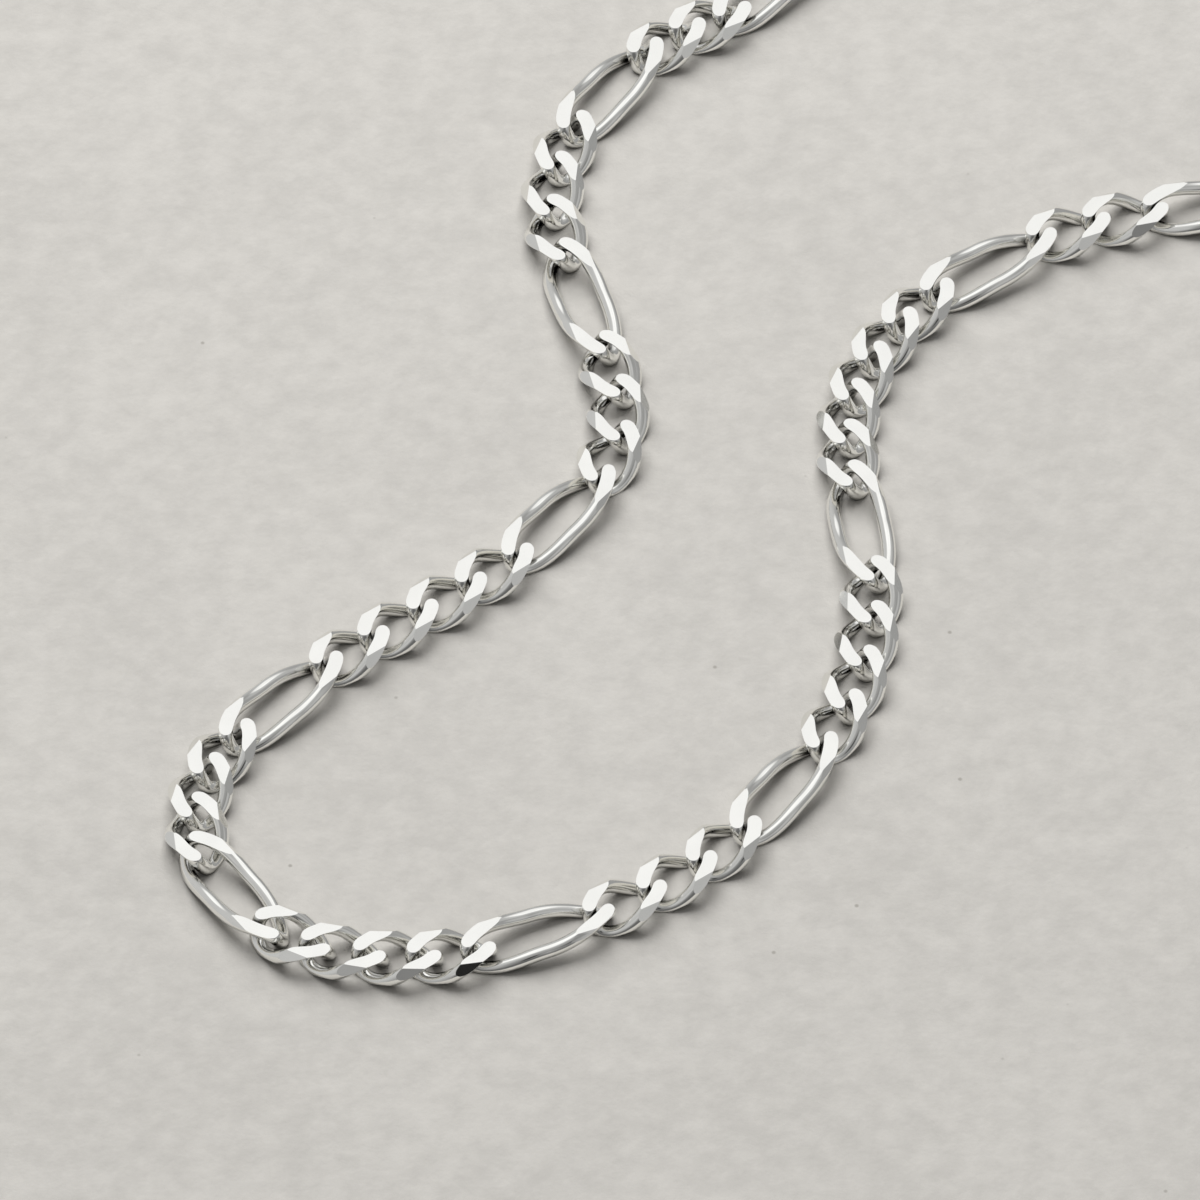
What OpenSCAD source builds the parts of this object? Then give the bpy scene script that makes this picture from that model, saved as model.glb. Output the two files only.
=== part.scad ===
// Figaro chain necklace, laid down on a flat surface as one closed loop.
// Lengths are in millimetres. The links rest on z = 0 and +Z is up.
// Every link is an oval ring of wire, twisted along its length so that it lies
// flat while its ends stand across the ends of its neighbours, and then cut
// flat on its top and bottom.

/* [Wire] */
// Diameter of the wire
wire_d = 1.15; // [0.8:0.05:1.3]
// Extra width that the press gives the wire at the four cut places, as a share
press_spread = 0.1; // [0:0.05:0.3]
// Height of the finished links between the two flat cuts
cut_height = 1.9; // [1.6:0.05:2.1]

/* [Short link] */
// Free length inside the link
short_inner_length = 5.25; // [4.6:0.05:6.8]
// Free width inside the link
short_inner_width = 2.85; // [2.6:0.05:3.6]
// Play along the link between its neighbours' wires and its own
short_play = 0.65; // [0.4:0.05:0.9]
// How fast the twist grows towards the ends
short_twist_power = 0.8; // [0.5:0.1:1.5]
// Number of wire sections round the link
short_sections = 14; // [10:2:16]

/* [Long link] */
// Free length inside the link
long_inner_length = 10.65; // [9:0.05:14]
// Free width inside the link
long_inner_width = 3.15; // [2.9:0.05:4]
// Play along the link between its neighbours' wires and its own
long_play = 0.55; // [0.3:0.05:0.9]
// How fast the twist grows towards the ends
long_twist_power = 1.5; // [0.5:0.1:3]
// Number of wire sections round the link
long_sections = 16; // [10:2:16]

/* [Twist] */
// Turn of each link end out of the flat
end_twist = 49; // [43:1:55]
// Fullness of the ends along the link, 1 for an ellipse
end_fullness = 0.95; // [0.8:0.05:1.1]
// Fullness of the sides across the link, 1 for an ellipse
side_fullness = 0.85; // [0.8:0.05:1]

/* [Clasp] */
// Free length inside the clasp's loops, from end to end
clasp_inner_length = 13.85; // [12:0.05:16]
// Play along the loops between the neighbours' wires and the clasp's own
clasp_play = 0.35; // [0.2:0.05:0.6]
// How fast the twist grows towards the ends
clasp_twist_power = 1.8; // [1:0.1:3]
// Number of wire sections round the loops
clasp_sections = 24; // [16:2:32]
// Gap from each end of the closed box to the wire of the next link
clasp_box_gap = 1.1; // [0.6:0.1:2]
// How far the closed box stands out beyond the loops on each side
clasp_box_cover = 0.1; // [0.05:0.05:0.5]
// How far the closed box rises above the links
clasp_box_rise = 0.65; // [0.3:0.05:1]
// Clearance under the closed box
clasp_box_lift = 0.15; // [0.1:0.05:0.3]
// Length of the push tab on the box
clasp_tab_length = 2.6; // [2:0.1:4]
// Width of the push tab
clasp_tab_width = 1.9; // [1.2:0.1:2.6]
// How far the push tab stands out of the box
clasp_tab_rise = 0.3; // [0.1:0.05:0.6]

/* [Hidden] */
// Short links in each run between two long links, and the run's pitch share.
shown_runs = [
    [2, 0.9],
    [3, 1.02],
    [3, 1],
    [4, 1.02],
    [3, 0.93],
    [4, 0.92],
    [3, 1.05],
    [4, 0.98],
    [5, 0.94],
    [2, 1.05]
];
// Each side of the clasp: short links in a run, and long links between the runs.
plain_short = 3;
plain_long = 4;
// Round points of the laid out loop, first the S bend and then the wide bend.
// The loop is drawn through them at the scale that makes it as long as the chain.
route = [
    [15, 64], [6, 57.5], [0, 52], [-4, 40], [0, 26], [1.5, 15.5], [-5, 5],
    [-21.5, -7.5], [-28, -14], [-31.5, -21], [-30, -29], [-22.5, -35.5],
    [-9.5, -36], [7, -28], [18, -14.5], [21.5, -1], [20, 10], [20, 20],
    [26, 30], [38, 37.5], [53, 40.5],
    [73, 43], [94, 50], [110, 65], [116, 86], [110, 107], [93, 121], [71, 123],
    [48, 111], [29, 87]
];
// Where the first long link starts along the loop, before its first point.
route_start = -3.3;
// Moves the middle of the laid out loop onto the origin.
middle = [42.24, 43.53];
// Steps of the smooth curve between two route points.
route_steps = 12;
// Corners of the wire section.
section_corners = 6;
// Half of the turn over which the wire's direction is measured, in degrees.
turn_step = 1;
// Sides of the clasp box's round ends.
round_sides = 48;

wire_r = wire_d / 2;
half_cut = cut_height / 2;
// A ring of wire has a whole number of sections.
short_rings = round(short_sections);
long_rings = round(long_sections);
clasp_rings = round(clasp_sections);
// Half lengths and widths of the wire's centre line.
short_half_length = short_inner_length / 2 + wire_r;
short_half_width = short_inner_width / 2 + wire_r;
long_half_length = long_inner_length / 2 + wire_r;
long_half_width = long_inner_width / 2 + wire_r;
clasp_half_length = clasp_inner_length / 2 + wire_r;
// Distance from joint to joint: the free length inside the link, less its play.
short_pitch = short_inner_length - short_play;
long_pitch = long_inner_length - long_play;
clasp_pitch = clasp_inner_length - clasp_play;
clasp_box_length = clasp_pitch + short_pitch - 2 * (short_half_length + wire_r + clasp_box_gap);
clasp_box_width = 2 * (long_half_width + wire_r + clasp_box_cover);
clasp_box_height = cut_height + clasp_box_rise - clasp_box_lift;

// The order of the links. Each entry is the kind and the pitch share.
SHORT = 0;
LONG = 1;
CLASP = 2;
function total(v) =
    [for (i = 0, s = 0; i <= len(v); s = s + (i < len(v) ? v[i] : 0), i = i + 1) s][len(v)];
function repeat(kind, count, share) = [for (i = [0:1:count - 1]) [kind, share]];
function pitch_of(kind) = kind == SHORT ? short_pitch : kind == LONG ? long_pitch : clasp_pitch;
function length_of(list) = total([for (e = list) pitch_of(e[0]) * e[1]]);
shown_count = len(shown_runs);
shown_order = [
    [LONG, shown_runs[0][1]],
    for (i = [0:shown_count - 1])
        each concat(repeat(SHORT, shown_runs[i][0], shown_runs[i][1]),
            [[LONG, (shown_runs[i][1] + shown_runs[min(i + 1, shown_count - 1)][1]) / 2]])
];
plain_half = [
    each repeat(SHORT, plain_short, 1),
    for (i = [0:1:plain_long - 1]) each concat([[LONG, 1]], repeat(SHORT, plain_short, 1))
];
order = concat(shown_order, plain_half, [[CLASP, 1]], plain_half);
chain_length = length_of(order);

// Smooth closed curve through the route points.
route_count = len(route);
function route_point(i) = route[(i + route_count) % route_count] - middle;
function bend(a, b, c, d, u) =
    (2 * b + (c - a) * u + (2 * a - 5 * b + 4 * c - d) * u * u
    + (3 * b - a - 3 * c + d) * u * u * u) / 2;
curve = [
    for (i = [0:route_count - 1])
        for (k = [0:route_steps - 1])
            bend(route_point(i - 1), route_point(i), route_point(i + 1),
                route_point(i + 2), k / route_steps),
    route_point(0)
];
curve_last = len(curve) - 1;
route_scale = chain_length / total([for (i = [1:curve_last]) norm(curve[i] - curve[i - 1])]);
lengths = [
    for (i = 0, s = 0; i <= curve_last;
        s = s + (i < curve_last ? route_scale * norm(curve[i + 1] - curve[i]) : 0), i = i + 1) s
];
x_table = [for (i = [0:curve_last]) [lengths[i], route_scale * curve[i][0]]];
y_table = [for (i = [0:curve_last]) [lengths[i], route_scale * curve[i][1]]];
function wrap(s) = s - chain_length * floor(s / chain_length);
function on_route(s) = [lookup(wrap(s), x_table), lookup(wrap(s), y_table)];
joints = [
    for (i = 0, s = route_start; i <= len(order);
        s = s + (i < len(order) ? pitch_of(order[i][0]) * order[i][1] : 0), i = i + 1) s
];
// Each link lies from one joint to the next: kind, middle and heading.
places = [
    for (i = [0:len(order) - 1])
        let (a = on_route(joints[i]), b = on_route(joints[i + 1]))
            [order[i][0], (a + b) / 2, atan2(b[1] - a[1], b[0] - a[0])]
];
shown_places = [for (i = [0:len(shown_order) - 1]) places[i]];
rest_places = [for (i = [len(shown_order):len(order) - 1]) places[i]];
plain_places = [for (p = rest_places) if (p[0] != CLASP) p];
clasp_place = [for (p = rest_places) if (p[0] == CLASP) p][0];

// Centre line of a twisted link, seen along x from end to end.
function full(v, power) = sign(v) * pow(abs(v), power);
function wire_line(t, half_l, half_w, power) =
    let (u = full(cos(t), end_fullness), w = half_w * full(sin(t), side_fullness),
        turn = -end_twist * sign(u) * pow(abs(u), power))
        [half_l * u, w * cos(turn), w * sin(turn)];
function unit(v) = v / norm(v);
// One wire section, held between the two flat cuts.
function wire_ring(t, half_l, half_w, power) =
    let (c = wire_line(t, half_l, half_w, power),
        along = unit(wire_line(t + turn_step, half_l, half_w, power)
            - wire_line(t - turn_step, half_l, half_w, power)),
        out = unit([along[1], -along[0], 0]),
        up = cross(out, along),
        wide = wire_r * (1 + press_spread * pow(sin(2 * t), 2)))
        [for (j = [0:section_corners - 1])
            let (a = j * 360 / section_corners, p = c + out * wide * cos(a) + up * wire_r * sin(a))
                [p[0], p[1], half_cut + max(-half_cut, min(half_cut, p[2]))]];
function link_points(half_l, half_w, power, rings) =
    [for (k = [0:rings - 1]) each wire_ring(k * 360 / rings, half_l, half_w, power)];
function link_faces(rings, first) =
    [for (k = [0:rings - 1]) for (j = [0:section_corners - 1])
        let (k2 = (k + 1) % rings, j2 = (j + 1) % section_corners,
            a = first + k * section_corners + j, b = first + k * section_corners + j2,
            c = first + k2 * section_corners + j2, d = first + k2 * section_corners + j)
            each [[a, b, c], [a, c, d]]];

short_points = link_points(short_half_length, short_half_width, short_twist_power, short_rings);
long_points = link_points(long_half_length, long_half_width, long_twist_power, long_rings);
clasp_points = link_points(clasp_half_length, long_half_width, clasp_twist_power, clasp_rings);
function points_of(kind) = kind == SHORT ? short_points : kind == LONG ? long_points : clasp_points;
function rings_of(kind) = kind == SHORT ? short_rings : kind == LONG ? long_rings : clasp_rings;
function laid(p, place) =
    [place[1][0] + p[0] * cos(place[2]) - p[1] * sin(place[2]),
    place[1][1] + p[0] * sin(place[2]) + p[1] * cos(place[2]), p[2]];
function starts(list) = [
    for (i = 0, s = 0; i < len(list);
        s = s + len(points_of(list[i][0])), i = i + 1) s
];

// Loose links, each through the next, drawn where the list lays them.
module links(list) {
    first = starts(list);
    polyhedron(
        points = [for (place = list) each [for (p = points_of(place[0])) laid(p, place)]],
        faces = [for (i = [0:len(list) - 1]) each link_faces(rings_of(list[i][0]), first[i])],
        convexity = 10
    );
}

// The S bend: eleven long links with two to five short links between them.
module chain_shown() {
    color("silver") links(shown_places);
}

// The plain stretch on both sides of the clasp, three short links to one long.
module chain_plain() {
    color("silver") links(plain_places);
}

// Closed box clasp: one twisted loop through a rounded box with a push tab.
module clasp() {
    color("silver")
        union() {
            links([clasp_place]);
            translate([clasp_place[1][0], clasp_place[1][1], clasp_box_lift])
                rotate([0, 0, clasp_place[2]])
                    clasp_box();
        }
}

module clasp_box() {
    corner = clasp_box_width / 2;
    hull() {
        for (side = [-1, 1]) {
            translate([side * (clasp_box_length / 2 - corner), 0, 0])
                cylinder(h = clasp_box_height, r = corner, $fn = round_sides);
        }
    }
    translate([0, 0, clasp_box_height / 2])
        linear_extrude(height = clasp_box_height / 2 + clasp_tab_rise)
            square([clasp_tab_length, clasp_tab_width], center = true);
}

chain_shown();
chain_plain();
clasp();
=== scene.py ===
"""Dresses a packed figaro chain: smooth cut links in polished silver, lying in an S bend.

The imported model's loose links say where every link lies. One short link, one long
link and the clasp are modelled here, copied to those places and joined into one
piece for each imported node. Lengths are in metres, and angles in radians, apart from
those of the room's bright and dark spots, which are in degrees.
"""
import logging
import math
from collections.abc import Callable
from dataclasses import dataclass, field
from enum import Enum
from typing import Any

import bmesh
import bpy
import numpy as np
from mathutils import Matrix, Vector


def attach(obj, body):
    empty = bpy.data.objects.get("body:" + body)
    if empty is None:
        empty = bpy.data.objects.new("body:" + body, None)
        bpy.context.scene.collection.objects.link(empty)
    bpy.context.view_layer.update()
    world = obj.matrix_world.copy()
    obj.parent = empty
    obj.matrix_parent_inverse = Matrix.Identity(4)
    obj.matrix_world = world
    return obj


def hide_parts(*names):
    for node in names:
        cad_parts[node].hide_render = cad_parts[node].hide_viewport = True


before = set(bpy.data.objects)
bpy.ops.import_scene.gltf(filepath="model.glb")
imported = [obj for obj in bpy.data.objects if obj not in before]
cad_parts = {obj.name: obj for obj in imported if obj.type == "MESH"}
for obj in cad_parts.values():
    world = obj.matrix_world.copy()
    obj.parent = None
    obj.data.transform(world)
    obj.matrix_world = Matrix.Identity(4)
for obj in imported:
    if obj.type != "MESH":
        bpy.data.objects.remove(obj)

LOG = logging.getLogger("figaro")
MM = 0.001
# Corners nearer to each other than this are one corner.
SAME_PLACE = 1e-6
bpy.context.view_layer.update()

Colour = tuple[float, float, float]


class LinkKind(Enum):
    """The kinds of ring that a figaro chain is made of."""

    SHORT = "short"
    LONG = "long"
    CLASP = "clasp"


def full(value: float, power: float) -> float:
    """Raises a value to a power and keeps its sign."""
    return math.copysign(abs(value) ** power, value)


@dataclass(frozen=True)
class Wire:
    """The wire that all links are bent from, and the press and cutters that finish them.

    Attributes:
        diameter: The round wire's thickness.
        press_spread: How much the press widens the wire between ends and sides, as a share.
        side_swell: How much thicker the wire is at the sides, as a share.
        cut_height: The height between the lower and the upper cut faces.
        end_twist: How far each end is twisted about the link's length.
        section_sides: Corners of the wire's round section.
        side_cut_angle: How far the slanted side faces lean from level.
        edge_round: How wide the softening of the cut edges is.
    """

    diameter: float = 1.15 * MM
    press_spread: float = 0.22
    side_swell: float = 0.14
    cut_height: float = 1.96 * MM
    end_twist: float = math.radians(61)
    section_sides: int = 24
    side_cut_angle: float = math.radians(44)
    edge_round: float = 0.07 * MM

    @property
    def radius(self) -> float:
        """Half of the wire's diameter."""
        return self.diameter / 2


@dataclass(frozen=True)
class Ring:
    """The size of one kind of ring, and how its centre line runs.

    Attributes:
        kind: Which ring it is.
        inner_length: Clear length inside.
        inner_width: Clear width inside, before the twist.
        twist_power: How much of the twist is kept for the ends, where 1 is evenly spread.
        end_fullness: Power of the outline along the ring, where 1 is an ellipse.
        side_fullness: Power of the outline across the ring, where less makes fuller sides.
        side_cut_at: From the middle line to where the slanted faces meet the flats.
        stations: How many round sections the wire is modelled through.
        wire: The wire that it is bent from.
    """

    kind: LinkKind
    inner_length: float
    inner_width: float
    twist_power: float
    end_fullness: float
    side_fullness: float
    side_cut_at: float
    stations: int
    wire: Wire = Wire()

    # How finely the centre line is followed: points round it, and the step for its direction.
    FINE_POINTS = 6001
    FINE_TURN = math.radians(0.3)

    @property
    def half_length(self) -> float:
        """Half length of the wire's centre line."""
        return self.inner_length / 2 + self.wire.radius

    @property
    def half_width(self) -> float:
        """Half width of the wire's centre line."""
        return self.inner_width / 2 + self.wire.radius

    def line(self, turn: float) -> Vector:
        """Gives a point of the wire's centre line.

        Args:
            turn: How far round the ring, from the end on the +X side.

        Returns:
            The point, with z = 0 at half of the link's height.
        """
        along = full(math.cos(turn), self.end_fullness)
        across = self.half_width * full(math.sin(turn), self.side_fullness)
        twist = -self.wire.end_twist * full(along, self.twist_power)
        return Vector((
            self.half_length * along, across * math.cos(twist), across * math.sin(twist)))

    def turns(self) -> list[float]:
        """Spreads the stations evenly along the wire.

        Returns:
            How far round the ring each station is.
        """
        fine = np.linspace(0, 2 * math.pi, self.FINE_POINTS)
        points = np.array([self.line(turn) for turn in fine])
        run = np.concatenate(([0], np.cumsum(np.linalg.norm(np.diff(points, axis=0), axis=1))))
        even = np.linspace(0, run[-1], self.stations, endpoint=False)
        return [float(turn) for turn in np.interp(even, run, fine)]

    def section(self, turn: float) -> tuple[Vector, Matrix, tuple[float, float, float]]:
        """Gives the wire's round section at one station.

        Args:
            turn: How far round the ring, from the end on the +X side.

        Returns:
            The section's middle, its rotation with local X outwards, and its stretch.
        """
        ahead, behind = self.line(turn + self.FINE_TURN), self.line(turn - self.FINE_TURN)
        along = (ahead - behind).normalized()
        out = Vector((along.y, -along.x, 0)).normalized()
        rotation = Matrix((out, out.cross(along), -along)).transposed()
        tall = 1 + self.wire.side_swell * math.sin(turn) ** 2
        wide = tall + self.wire.press_spread * math.sin(2 * turn) ** 2
        return self.line(turn), rotation, (wide, tall, 1)


SHORT_RING = Ring(
    kind=LinkKind.SHORT, inner_length=4.92 * MM, inner_width=2.77 * MM, twist_power=1.0,
    end_fullness=0.9, side_fullness=0.65, side_cut_at=1.83 * MM, stations=70)
LONG_RING = Ring(
    kind=LinkKind.LONG, inner_length=10.55 * MM, inner_width=2.67 * MM, twist_power=1.9,
    end_fullness=0.85, side_fullness=0.6, side_cut_at=1.92 * MM, stations=98)
CLASP_RING = Ring(
    kind=LinkKind.CLASP, inner_length=13.85 * MM, inner_width=3.15 * MM, twist_power=1.8,
    end_fullness=0.95, side_fullness=0.7, side_cut_at=2.1 * MM, stations=128)


def only_nothing() -> None:
    """Deselects every object."""
    bpy.ops.object.select_all(action="DESELECT")


def only(*pieces: bpy.types.Object) -> None:
    """Selects these objects and nothing else, and makes the first one active.

    Args:
        pieces: The objects to select.
    """
    only_nothing()
    for piece in pieces:
        piece.select_set(True)
    bpy.context.view_layer.objects.active = pieces[0]


def new_piece(name: str, mesh: bpy.types.Mesh) -> bpy.types.Object:
    """Adds an object with this mesh at the origin.

    Args:
        name: The object's name.
        mesh: Its mesh.

    Returns:
        The new object.
    """
    piece = bpy.data.objects.new(name, mesh)
    bpy.context.scene.collection.objects.link(piece)
    return piece


def apply_place() -> None:
    """Moves the selected objects' places into their meshes."""
    bpy.ops.object.transform_apply(location=True, rotation=True, scale=True)


def new_block(middle: float, size: tuple[float, float, float]) -> bpy.types.Object:
    """Adds a block over the origin and leaves it in edit mode.

    Args:
        middle: The height of its middle.
        size: Its length, width and height.

    Returns:
        The new object.
    """
    only_nothing()
    bpy.ops.mesh.primitive_cube_add(size=1, location=(0, 0, middle), scale=size)
    piece = bpy.context.view_layer.objects.active
    apply_place()
    bpy.ops.object.mode_set(mode="EDIT")
    return piece


def apply_modifiers(piece: bpy.types.Object) -> None:
    """Applies a piece's modifiers in their order.

    Args:
        piece: The object with the modifiers.
    """
    only(piece)
    for modifier in list(piece.modifiers):
        bpy.ops.object.modifier_apply(modifier=modifier.name)


def choose_edges(
        piece: bpy.types.Object, wanted: Callable[[bmesh.types.BMEdge], bool]) -> None:
    """Selects edges of a mesh in edit mode by a test.

    Args:
        piece: The object in edit mode.
        wanted: A test that is true for the edges to select.
    """
    bpy.ops.mesh.select_all(action="DESELECT")
    bpy.ops.mesh.select_mode(type="EDGE")
    mesh = bmesh.from_edit_mesh(piece.data)
    for edge in [edge for edge in mesh.edges if wanted(edge)]:
        edge.select_set(True)
    bmesh.update_edit_mesh(piece.data)


class RingModel:
    """Models one ring: a tube through round sections, cut flat as the real links are."""

    # Corners that a cut leaves nearer to each other than this are merged.
    CUT_MERGE = 1e-7
    # The softening of the cut edges: its faces, and the least angle of an edge that gets it.
    EDGE_STEPS = 3
    EDGE_FROM = math.radians(24)
    # The largest weight, by which large faces rule the shading and the flats stay flat.
    FLATS_RULE = 100

    def __init__(self, ring: Ring) -> None:
        """Keeps the ring's sizes.

        Args:
            ring: The sizes to model.
        """
        self.ring = ring
        self.wire = ring.wire

    def build(self) -> bpy.types.Object:
        """Models the ring round the origin, resting on z = 0.

        Returns:
            The finished object.
        """
        piece = self.tube()
        self.cuts(piece)
        self.soften(piece)
        return piece

    def tube(self) -> bpy.types.Object:
        """Adds a circle for each station and bridges them into a closed tube.

        Returns:
            The new object, out of edit mode.
        """
        name = f"ring_{self.ring.kind.value}"
        lift = Vector((0, 0, self.wire.cut_height / 2))
        piece = new_piece(name, bpy.data.meshes.new(name))
        only(piece)
        bpy.ops.object.mode_set(mode="EDIT")
        for turn in self.ring.turns():
            middle, rotation, stretch = self.ring.section(turn)
            bpy.ops.mesh.select_all(action="DESELECT")
            bpy.ops.mesh.primitive_circle_add(
                vertices=self.wire.section_sides, radius=self.wire.radius,
                location=middle + lift, rotation=rotation.to_euler(), scale=stretch)
        bpy.ops.mesh.select_all(action="SELECT")
        bpy.ops.mesh.bridge_edge_loops(type="CLOSED")
        bpy.ops.mesh.select_all(action="SELECT")
        bpy.ops.mesh.normals_make_consistent(inside=False)
        bpy.ops.object.mode_set(mode="OBJECT")
        return piece

    def cuts(self, piece: bpy.types.Object) -> None:
        """Cuts the top and bottom flats and the four slanted side faces.

        Args:
            piece: The tube to cut.
        """
        half = self.wire.cut_height / 2
        lean, reach = self.wire.side_cut_angle, self.ring.side_cut_at
        only(piece)
        bpy.ops.object.mode_set(mode="EDIT")
        for up in (-1, 1):
            level = half + up * half
            planes = [(Vector((0, 0, level)), Vector((0, 0, up)))]
            for side in (-1, 1):
                slant = Vector((0, side * math.sin(lean), up * math.cos(lean)))
                planes.append((Vector((0, side * reach, level)), slant))
            for point, normal in planes:
                bpy.ops.mesh.select_all(action="SELECT")
                bpy.ops.mesh.bisect(
                    plane_co=point, plane_no=normal, use_fill=True, clear_outer=True,
                    threshold=self.CUT_MERGE)
        bpy.ops.object.mode_set(mode="OBJECT")

    def soften(self, piece: bpy.types.Object) -> None:
        """Rounds the cut edges a little and shades the wire smooth and the flats flat.

        Args:
            piece: The cut ring.
        """
        only(piece)
        bpy.ops.object.shade_smooth()
        edge = piece.modifiers.new("edge", "BEVEL")
        edge.width = self.wire.edge_round
        edge.segments = self.EDGE_STEPS
        edge.limit_method = "ANGLE"
        edge.angle_limit = self.EDGE_FROM
        even = piece.modifiers.new("even", "WEIGHTED_NORMAL")
        even.mode = "FACE_AREA"
        even.weight = self.FLATS_RULE
        apply_modifiers(piece)


@dataclass(frozen=True)
class Place:
    """Where one link lies, in the row frame.

    Attributes:
        kind: Which link it is.
        middle: The point on the floor under its middle.
        heading: Which way its length points, from +X.
    """

    kind: LinkKind
    middle: Vector
    heading: float

    def matrix(self) -> Matrix:
        """Moves a ring modelled round the origin to this place."""
        return Matrix.Translation(self.middle) @ Matrix.Rotation(self.heading, 4, "Z")


def read_places(node: str) -> list[Place]:
    """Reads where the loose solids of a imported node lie.

    Args:
        node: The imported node's name.

    Returns:
        A place for each loose solid, from its middle and its long direction.
    """
    # Halfway between the lengths of a short and a long link.
    long_from = SHORT_RING.half_length + LONG_RING.half_length
    only(new_piece("probe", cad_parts[node].data.copy()))
    bpy.ops.object.mode_set(mode="EDIT")
    bpy.ops.mesh.select_all(action="SELECT")
    bpy.ops.mesh.remove_doubles(threshold=SAME_PLACE)
    bpy.ops.mesh.separate(type="LOOSE")
    bpy.ops.object.mode_set(mode="OBJECT")
    places = []
    for part in list(bpy.context.selected_objects):
        corners = np.array([vertex.co[:2] for vertex in part.data.vertices])
        middle = corners.mean(0)
        spread, axes = np.linalg.eigh(np.cov((corners - middle).T))
        axis = axes[:, np.argmax(spread)]
        length = np.ptp((corners - middle) @ axis)
        kind = LinkKind.LONG if length > long_from else LinkKind.SHORT
        places.append(Place(kind, Vector((*middle, 0)), math.atan2(axis[1], axis[0])))
        mesh = part.data
        bpy.data.objects.remove(part)
        bpy.data.meshes.remove(mesh)
    return places


@dataclass
class DressedPiece:
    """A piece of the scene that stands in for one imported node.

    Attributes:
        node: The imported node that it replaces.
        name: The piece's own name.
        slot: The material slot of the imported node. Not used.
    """

    node: str
    name: str
    slot: str = "polished_silver"

    def dress(self, piece: bpy.types.Object, material: bpy.types.Material) -> None:
        """Gives the piece its material and sets it in the frame.

        Args:
            piece: The finished piece.
            material: The finish.
        """
        piece.data.materials.clear()
        piece.data.materials.append(material)
        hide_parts(self.node)
        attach(piece, "root")


@dataclass
class ChainRun(DressedPiece):
    """One packed stretch of chain, dressed as a single piece of loose links.

    Attributes:
        places: Where its links lie, once it is built.
    """

    places: list[Place] = field(default_factory=list)

    def build(self, models: dict[LinkKind, bpy.types.Object]) -> bpy.types.Object:
        """Copies the modelled links to their places and joins them.

        Args:
            models: The short and the long link, modelled round the origin.

        Returns:
            The joined piece.
        """
        self.places = read_places(self.node)
        copies = []
        for place in self.places:
            copy = new_piece(self.name, models[place.kind].data.copy())
            copy.matrix_world = place.matrix()
            copies.append(copy)
        only(*copies)
        apply_place()
        bpy.ops.object.join()
        piece = bpy.context.view_layer.objects.active
        piece.name = self.name
        return piece


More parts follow.
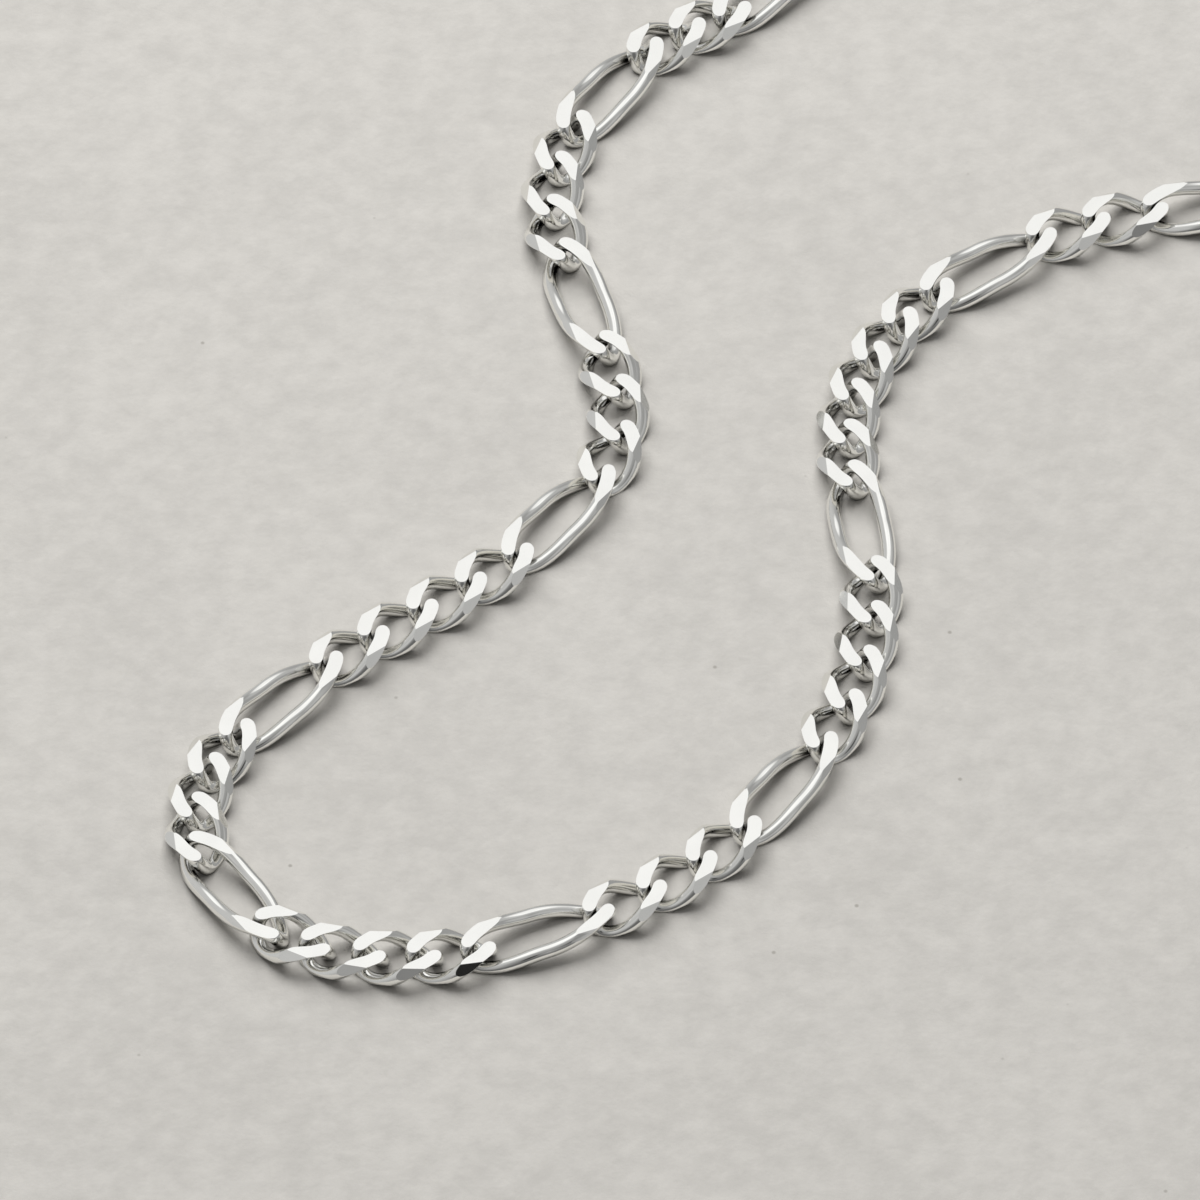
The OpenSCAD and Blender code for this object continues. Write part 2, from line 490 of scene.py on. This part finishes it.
@dataclass
class BoxClasp(DressedPiece):
    """The closed box clasp: twisted loops through a rounded box with a push tab.

    Attributes:
        box_length: Length of the box, over its round ends.
        box_width: Width of the box.
        box_height: Height of the box.
        box_lift: How far the box lies above the floor, as its loops carry it.
        rim_round: How wide the softening of its upper and lower rims is.
        tab_length: Length of the push tab.
        tab_width: Width of the push tab.
        tab_rise: How far the tab stands out of the box.
    """

    node: str = "clasp"
    name: str = "box_clasp"
    box_length: float = 8.35 * MM
    box_width: float = 5.65 * MM
    box_height: float = 2.4 * MM
    box_lift: float = 0.15 * MM
    rim_round: float = 0.35 * MM
    tab_length: float = 2.6 * MM
    tab_width: float = 1.9 * MM
    tab_rise: float = 0.3 * MM

    # The corners' rounding as a share of half the width: just under 1, so that the two at
    # each end all but meet, and what is left between them is merged.
    END_SHARE = 0.999
    END_MERGE = 0.01 * MM
    # How many faces round off the ends, the rims and the tab.
    END_STEPS = 16
    RIM_STEPS = 4
    TAB_STEPS = 3
    # The tab's full height and its soft edges, in shares of its rise. The rest is in the box.
    TAB_DEPTH = 3
    TAB_ROUND = 0.5
    # Edges that turn by less than this are shaded smooth.
    SMOOTH_UP_TO = math.radians(35)

    def box(self) -> bpy.types.Object:
        """Models the closed box from a block, with round ends and soft rims.

        Returns:
            The box, resting at its lift above z = 0.
        """
        middle = self.box_lift + self.box_height / 2
        levels = (self.box_lift, self.box_lift + self.box_height)

        def upright(edge: bmesh.types.BMEdge) -> bool:
            """Tells whether an edge stands up at a corner of the block."""
            return abs(edge.verts[0].co.z - edge.verts[1].co.z) > self.box_height / 2

        def on_rim(edge: bmesh.types.BMEdge) -> bool:
            """Tells whether an edge lies in the upper or the lower face."""
            return any(
                all(abs(corner.co.z - level) < SAME_PLACE for corner in edge.verts)
                for level in levels)

        piece = new_block(middle, (self.box_length, self.box_width, self.box_height))
        choose_edges(piece, upright)
        bpy.ops.mesh.bevel(
            offset=self.box_width / 2 * self.END_SHARE, segments=self.END_STEPS,
            clamp_overlap=False)
        bpy.ops.mesh.select_all(action="SELECT")
        bpy.ops.mesh.remove_doubles(threshold=self.END_MERGE)
        choose_edges(piece, on_rim)
        bpy.ops.mesh.bevel(offset=self.rim_round, segments=self.RIM_STEPS)
        bpy.ops.object.mode_set(mode="OBJECT")
        return piece

    def tab(self) -> bpy.types.Object:
        """Models the push tab as a plain low bar with soft upper edges.

        Returns:
            The tab, standing in the top of the box.
        """
        top = self.box_lift + self.box_height + self.tab_rise
        depth = self.tab_rise * self.TAB_DEPTH

        def on_top(edge: bmesh.types.BMEdge) -> bool:
            """Tells whether an edge lies in the upper face."""
            return min(corner.co.z for corner in edge.verts) > top - self.tab_rise / 2

        piece = new_block(top - depth / 2, (self.tab_length, self.tab_width, depth))
        choose_edges(piece, on_top)
        bpy.ops.mesh.bevel(offset=self.tab_rise * self.TAB_ROUND, segments=self.TAB_STEPS)
        bpy.ops.object.mode_set(mode="OBJECT")
        return piece

    def build(self) -> bpy.types.Object:
        """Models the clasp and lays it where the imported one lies.

        Returns:
            The finished clasp, one closed body.
        """
        place = read_places(self.node)[0]
        piece = RingModel(CLASP_RING).build()
        for other in (self.box(), self.tab()):
            union = piece.modifiers.new("union", "BOOLEAN")
            union.operation = "UNION"
            union.solver = "EXACT"
            union.object = other
            apply_modifiers(piece)
            bpy.data.objects.remove(other)
        only(piece)
        bpy.ops.object.shade_smooth_by_angle(angle=self.SMOOTH_UP_TO)
        piece.matrix_world = place.matrix()
        apply_place()
        piece.name = self.name
        return piece


class Number:
    """Wraps a number socket so that shader maths reads as plain sums."""

    def __init__(self, nodes: "NodeTree", socket: bpy.types.NodeSocket) -> None:
        """Keeps the socket and the tree that it is in.

        Args:
            nodes: The tree to add maths nodes to.
            socket: The output that gives the number.
        """
        self.nodes = nodes
        self.socket = socket

    def _math(self, operation: str, *values: Any) -> "Number":
        """Adds one Math node on these values."""
        node = self.nodes.add("ShaderNodeMath", {"operation": operation}, dict(enumerate(values)))
        return Number(self.nodes, node.outputs[0])

    def __add__(self, other: Any) -> "Number":
        """Sum of two numbers."""
        return self._math("ADD", self, other)

    __radd__ = __add__

    def __sub__(self, other: Any) -> "Number":
        """Difference of two numbers."""
        return self._math("SUBTRACT", self, other)

    def __rsub__(self, other: Any) -> "Number":
        """Difference from a plain number."""
        return self._math("SUBTRACT", other, self)

    def __mul__(self, other: Any) -> "Number":
        """Product of two numbers."""
        return self._math("MULTIPLY", self, other)

    __rmul__ = __mul__

    def smooth(self, low: float, high: float) -> "Number":
        """Rises smoothly from 0 at low to 1 at high."""
        node = self.nodes.add(
            "ShaderNodeMapRange", {"interpolation_type": "SMOOTHSTEP"},
            {"Value": self, "From Min": low, "From Max": high, "To Min": 0.0, "To Max": 1.0})
        return Number(self.nodes, node.outputs["Result"])


@dataclass(frozen=True)
class Grain:
    """A cloudy pattern.

    Attributes:
        waves: How many waves there are in a metre.
        layers: How many finer layers lie on them.
        roughness: How strong the finer layers are.
    """

    waves: float
    layers: float
    roughness: float = 0.5


class NodeTree:
    """Adds shader nodes to one material or world."""

    def __init__(self, owner: bpy.types.Material | bpy.types.World) -> None:
        """Turns on the owner's node tree and empties it.

        Args:
            owner: A material or a world.
        """
        owner.use_nodes = True
        self.tree = owner.node_tree
        self.tree.nodes.clear()

    def add(self, kind: str, settings: dict[str, Any] | None = None,
            inputs: dict[Any, Any] | None = None) -> bpy.types.Node:
        """Adds a node of any type.

        Args:
            kind: The node's type name.
            settings: Its properties, set before its sockets.
            inputs: Values or links of its sockets, by name or index.

        Returns:
            The new node.
        """
        node = self.tree.nodes.new(kind)
        for name, value in (settings or {}).items():
            setattr(node, name, value)
        for name, value in (inputs or {}).items():
            value = value.socket if isinstance(value, Number) else value
            if isinstance(value, bpy.types.NodeSocket):
                self.tree.links.new(value, node.inputs[name])
            else:
                node.inputs[name].default_value = value
        return node

    def number(self, node: bpy.types.Node, output: str) -> Number:
        """Wraps one output of a node as a number."""
        return Number(self, node.outputs[output])

    def place(self) -> bpy.types.NodeSocket:
        """Gives the piece's own coordinates."""
        return self.add("ShaderNodeTexCoord").outputs["Object"]

    def noise(self, grain: Grain) -> Number:
        """Adds a cloudy pattern on the piece's own coordinates.

        Args:
            grain: The pattern's size and make-up.

        Returns:
            The noise, round 0.5.
        """
        node = self.add(
            "ShaderNodeTexNoise", {},
            {"Vector": self.place(), "Scale": grain.waves, "Detail": grain.layers,
             "Roughness": grain.roughness})
        return self.number(node, "Fac")

    def blend(self, share: Number, first: Any, second: Any) -> bpy.types.NodeSocket:
        """Mixes two colours.

        Args:
            share: How much of the second colour there is.
            first: A colour with its alpha, or a link to one.
            second: A colour with its alpha, or a link to one.

        Returns:
            The mixed colour.
        """
        node = self.add(
            "ShaderNodeMix", {"data_type": "RGBA"}, {"Factor": share, "A": first, "B": second})
        return node.outputs["Result"]

    def bump(self, grain: Grain, strength: float, depth: float) -> bpy.types.NodeSocket:
        """Adds unevenness that shows in the shading alone.

        Args:
            grain: The pattern of the unevenness.
            strength: How strongly it shows.
            depth: Its depth.

        Returns:
            The normal to give to a shader.
        """
        node = self.add(
            "ShaderNodeBump", {},
            {"Strength": strength, "Distance": depth, "Height": self.noise(grain)})
        return node.outputs["Normal"]

    def surface(self, inputs: dict[str, Any]) -> None:
        """Ends a material with the shader that has these inputs."""
        shader = self.add("ShaderNodeBsdfPrincipled", {}, inputs)
        self.add("ShaderNodeOutputMaterial", {}, {"Surface": shader.outputs["BSDF"]})


def opaque(colour: Colour, share: float = 1.0) -> tuple[float, ...]:
    """Gives a share of a colour's brightness, with full alpha."""
    return (*(part * share for part in colour), 1)


@dataclass(frozen=True)
class SilverFinish:
    """Polished silver with mirror bright cut faces, faint wear, and painted shade in its recesses
    and where it lies near the floor.

    Attributes:
        name: The material's name.
        colour: The clean metal.
        dulled: The brightness of the metal in the broad clouds, as a share.
        roughness: Roughness of the clean polish.
        wear: How much the wear roughens it.
        fine: Pattern of the fine wear.
        broad: Pattern of the broad wear.
        broad_edges: Where the broad clouds begin and are full.
        ripple: How strongly the surface's slight waves show.
        ripple_depth: Their depth.
        ripples: Their pattern.
        painted_shade_colour: The colour of the painted shade at its darkest, in recesses.
        painted_shade_reach: How near another surface has to be for the metal to get painted shade.
        painted_shade_edges: How open to its surroundings the metal is where the painted shade is
            darkest, and where it is clean.
        painted_shade_rays: How many rays look for near surfaces.
    """

    name: str = "polished_silver"
    colour: Colour = (0.95, 0.947, 0.915)
    dulled: float = 0.97
    roughness: float = 0.075
    wear: float = 0.05
    fine: Grain = Grain(2600, 4, 0.6)
    broad: Grain = Grain(420, 2)
    broad_edges: tuple[float, float] = (0.3, 0.7)
    ripple: float = 0.012
    ripple_depth: float = 0.05 * MM
    ripples: Grain = Grain(900, 3, 0.6)
    # Painted shade: the dark colour that the metal is painted towards in recesses, between links
    # and near the floor.
    painted_shade_colour: Colour = (0.09, 0.085, 0.076)
    painted_shade_reach: float = 0.9 * MM
    painted_shade_edges: tuple[float, float] = (0.2, 0.98)
    painted_shade_rays: int = 6

    def make(self) -> bpy.types.Material:
        """Makes the material.

        Returns:
            The new material.
        """
        material = bpy.data.materials.new(self.name)
        nodes = NodeTree(material)
        fine, broad = nodes.noise(self.fine), nodes.noise(self.broad)
        clean = nodes.blend(
            broad.smooth(*self.broad_edges), opaque(self.colour), opaque(self.colour, self.dulled))
        # Painted shade: ambient occlusion darkens the clean metal towards the dark shade colour
        # wherever other surfaces, the floor too, are near.
        recess = nodes.add(
            "ShaderNodeAmbientOcclusion", {"samples": self.painted_shade_rays},
            {"Distance": self.painted_shade_reach})
        clean_with_painted_shade = nodes.blend(
            nodes.number(recess, "AO").smooth(*self.painted_shade_edges), opaque(self.painted_shade_colour), clean)
        nodes.surface({
            "Metallic": 1.0,
            "Base Color": clean_with_painted_shade,
            "Roughness": self.roughness + self.wear * (fine * broad),
            "Normal": nodes.bump(self.ripples, self.ripple, self.ripple_depth),
        })
        return material


@dataclass(frozen=True)
class Floor:
    """The pale surface that the chain lies on: matt, faintly clouded and pitted here and there.

    Attributes:
        size: Its length and width.
        drop: How far it lies under z = 0, so that the flats under the links don't meet it.
        colour: Its lightest tone.
        mottle: How much darker its clouds are, as a share.
        fine: Pattern of the small clouds.
        broad: Pattern of the large clouds.
        fine_share: The small clouds' share in the two.
        cloud_edges: Where the clouds are darkest and where they end.
        pit_colour: The colour of the pits.
        pit_share: How much of that colour they have.
        pit_cells: Cells along a metre. A pit shows where one's middle lies in the surface.
        pit_edges: A pit's full reach and where it ends, in shares of a cell.
        dents: Pattern of the surface's unevenness.
        dent_strength: How strongly it shows.
        dent_depth: Its depth.
        roughness: Roughness of the matt surface.
        sheen: How strongly it shines.
    """

    size: float = 12.0
    drop: float = 0.01 * MM
    colour: Colour = (0.775, 0.75, 0.705)
    mottle: float = 0.13
    fine: Grain = Grain(420, 6, 0.62)
    broad: Grain = Grain(60, 3)
    fine_share: float = 0.7
    cloud_edges: tuple[float, float] = (0.3, 0.7)
    pit_colour: Colour = (0.42, 0.4, 0.36)
    pit_share: float = 0.75
    pit_cells: float = 140
    pit_edges: tuple[float, float] = (0.01, 0.034)
    dents: Grain = Grain(500, 5, 0.6)
    dent_strength: float = 0.35
    dent_depth: float = 0.25 * MM
    roughness: float = 0.9
    sheen: float = 0.15

    def build(self) -> None:
        """Adds the surface and its finish."""
        only_nothing()
        bpy.ops.mesh.primitive_plane_add(size=self.size, location=(0, 0, -self.drop))
        floor = bpy.context.view_layer.objects.active
        floor.name = "floor"
        floor.data.materials.append(self.material())

    def material(self) -> bpy.types.Material:
        """Makes the matt, clouded and pitted finish.

        Returns:
            The new material.
        """
        material = bpy.data.materials.new("plaster")
        nodes = NodeTree(material)
        clouds = (nodes.noise(self.fine) * self.fine_share
                  + nodes.noise(self.broad) * (1 - self.fine_share))
        tint = nodes.blend(
            clouds.smooth(*self.cloud_edges),
            opaque(self.colour, 1 - self.mottle), opaque(self.colour))
        cell = nodes.add(
            "ShaderNodeTexVoronoi", {}, {"Vector": nodes.place(), "Scale": self.pit_cells})
        pit = 1 - nodes.number(cell, "Distance").smooth(*self.pit_edges)
        nodes.surface({
            "Base Color": nodes.blend(self.pit_share * pit, tint, opaque(self.pit_colour)),
            "Roughness": self.roughness,
            "Specular IOR Level": self.sheen,
            "Normal": nodes.bump(self.dents, self.dent_strength, self.dent_depth),
        })
        return material


@dataclass(frozen=True)
class Spot:
    """A soft bright or dark spot on the walls of the room, with its angles in degrees.

    Attributes:
        azimuth: The side that it is on, from +X.
        elevation: How high it is above level.
        inner: How far from its middle it is at full strength.
        outer: How far from its middle it ends.
        strength: How much it adds, or the share that it takes away.
    """

    azimuth: float
    elevation: float
    inner: float
    outer: float
    strength: float

    def mask(self, nodes: NodeTree, look: bpy.types.NodeSocket) -> Number:
        """Gives where the spot is.

        Args:
            nodes: The world's tree.
            look: The direction looked in.

        Returns:
            1 within the inner angle of the spot's middle, falling to 0 at the outer.
        """
        turn, rise = math.radians(self.azimuth), math.radians(self.elevation)
        middle = (
            math.cos(turn) * math.cos(rise), math.sin(turn) * math.cos(rise), math.sin(rise))
        near = nodes.add("ShaderNodeVectorMath", {"operation": "DOT_PRODUCT"}, {0: look, 1: middle})
        edges = math.cos(math.radians(self.outer)), math.cos(math.radians(self.inner))
        return nodes.number(near, "Value").smooth(*edges)


@dataclass(frozen=True)
class Studio:
    """The camera at the photograph's angle, the softbox and the room's plain light.

    Attributes:
        elevation: How steeply the camera looks down.
        distance: From the camera to its target.
        target: The point that the camera and the softbox look at.
        view_width: What the picture's width shows at the target.
        sensor: The camera's sensor, in its own millimetres.
        clip: The nearest and the farthest that the camera sees.
        key_place: Where the softbox stands.
        key_size: Its length and width.
        key_watts: Its power.
        soak: The share of the room's light that falls on matt surfaces.
        dim: The brightness of the room's plain walls.
        pale_side: How much brighter the wall at the left and back is.
        glows: The bright spots.
        shades: The dark spots.
    """

    elevation: float = math.radians(50.8)
    distance: float = 1.66667
    target: tuple[float, float, float] = (-42.19 * MM, -43.54 * MM, 0)
    view_width: float = 94.51 * MM
    sensor: float = 36.0
    clip: tuple[float, float] = (0.05, 100)
    key_place: tuple[float, float, float] = (-0.22, 0.65, 0.84)
    key_size: float = 1.0
    key_watts: float = 12.4
    soak: float = 0.45
    dim: float = 0.33
    pale_side: Spot = Spot(150, 10, 20, 85, 0.22)
    glows: tuple[Spot, ...] = (
        Spot(90, 64, 22, 34, 0.5),
        Spot(0, 90, 15, 50, 0.14),
        Spot(28, 50, 12, 28, 0.13),
        Spot(-36, 33, 10, 20, 0.13),
        Spot(-134, 38, 8, 20, 0.15),
    )
    shades: tuple[Spot, ...] = (
        Spot(-77, 41, 3, 12, 0.93),
        Spot(-80, 56, 10, 32, 0.32),
        Spot(-85, 2, 18, 42, 0.6),
    )

    def camera(self) -> None:
        """Adds the camera and makes it the scene's own."""
        back = Vector((0, -math.cos(self.elevation), math.sin(self.elevation)))
        data = bpy.data.cameras.new("camera")
        data.sensor_width = self.sensor
        data.lens = self.sensor * self.distance / self.view_width
        data.clip_start, data.clip_end = self.clip
        camera = bpy.data.objects.new("camera", data)
        bpy.context.scene.collection.objects.link(camera)
        camera.location = Vector(self.target) + back * self.distance
        camera.rotation_euler = (math.pi / 2 - self.elevation, 0, 0)
        bpy.context.scene.camera = camera

    def key(self) -> None:
        """Adds the large softbox behind the chain, which the metal does not mirror."""
        data = bpy.data.lights.new("key", "AREA")
        data.shape = "SQUARE"
        data.size = self.key_size
        data.energy = self.key_watts
        light = bpy.data.objects.new("key", data)
        bpy.context.scene.collection.objects.link(light)
        light.visible_glossy = False
        light.location = self.key_place
        aim = Vector(self.target) - light.location
        light.rotation_euler = aim.to_track_quat("-Z", "Y").to_euler()

    def room(self) -> None:
        """Makes the room: pale at the left and back, with bright spots, and darker in front."""
        world = bpy.data.worlds.new("room")
        bpy.context.scene.world = world
        nodes = NodeTree(world)
        look = nodes.add("ShaderNodeTexCoord").outputs["Generated"]
        strength = self.dim + self.pale_side.strength * self.pale_side.mask(nodes, look)
        for shade in self.shades:
            strength = strength * (1 - shade.strength * shade.mask(nodes, look))
        for glow in self.glows:
            strength = strength + glow.strength * glow.mask(nodes, look)
        mirrored = nodes.number(nodes.add("ShaderNodeLightPath"), "Is Glossy Ray")
        strength = strength * (self.soak + (1 - self.soak) * mirrored)
        shader = nodes.add(
            "ShaderNodeBackground", {}, {"Color": (1, 1, 1, 1), "Strength": strength})
        nodes.add("ShaderNodeOutputWorld", {}, {"Surface": shader.outputs["Background"]})

    def build(self) -> None:
        """Sets up the camera, the light and the picture's plain colours."""
        self.camera()
        self.key()
        self.room()
        bpy.context.scene.view_settings.view_transform = "Standard"
        bpy.context.scene.view_settings.look = "None"


def main() -> None:
    """Builds the studio, the links and the clasp, and reports each piece."""
    logging.basicConfig(level=logging.INFO, format="%(name)s: %(message)s")
    Studio().build()
    Floor().build()
    silver = SilverFinish().make()
    models = {ring.kind: RingModel(ring).build() for ring in (SHORT_RING, LONG_RING)}
    for run in (ChainRun("chain_shown", "links_shown"), ChainRun("chain_plain", "links_plain")):
        piece = run.build(models)
        run.dress(piece, silver)
        LOG.info("%s: %d links, %d faces", piece.name, len(run.places), len(piece.data.polygons))
    for model in models.values():
        bpy.data.objects.remove(model)
    clasp = BoxClasp()
    piece = clasp.build()
    clasp.dress(piece, silver)
    LOG.info("%s: %d faces", piece.name, len(piece.data.polygons))


if __name__ == "__main__":
    main()
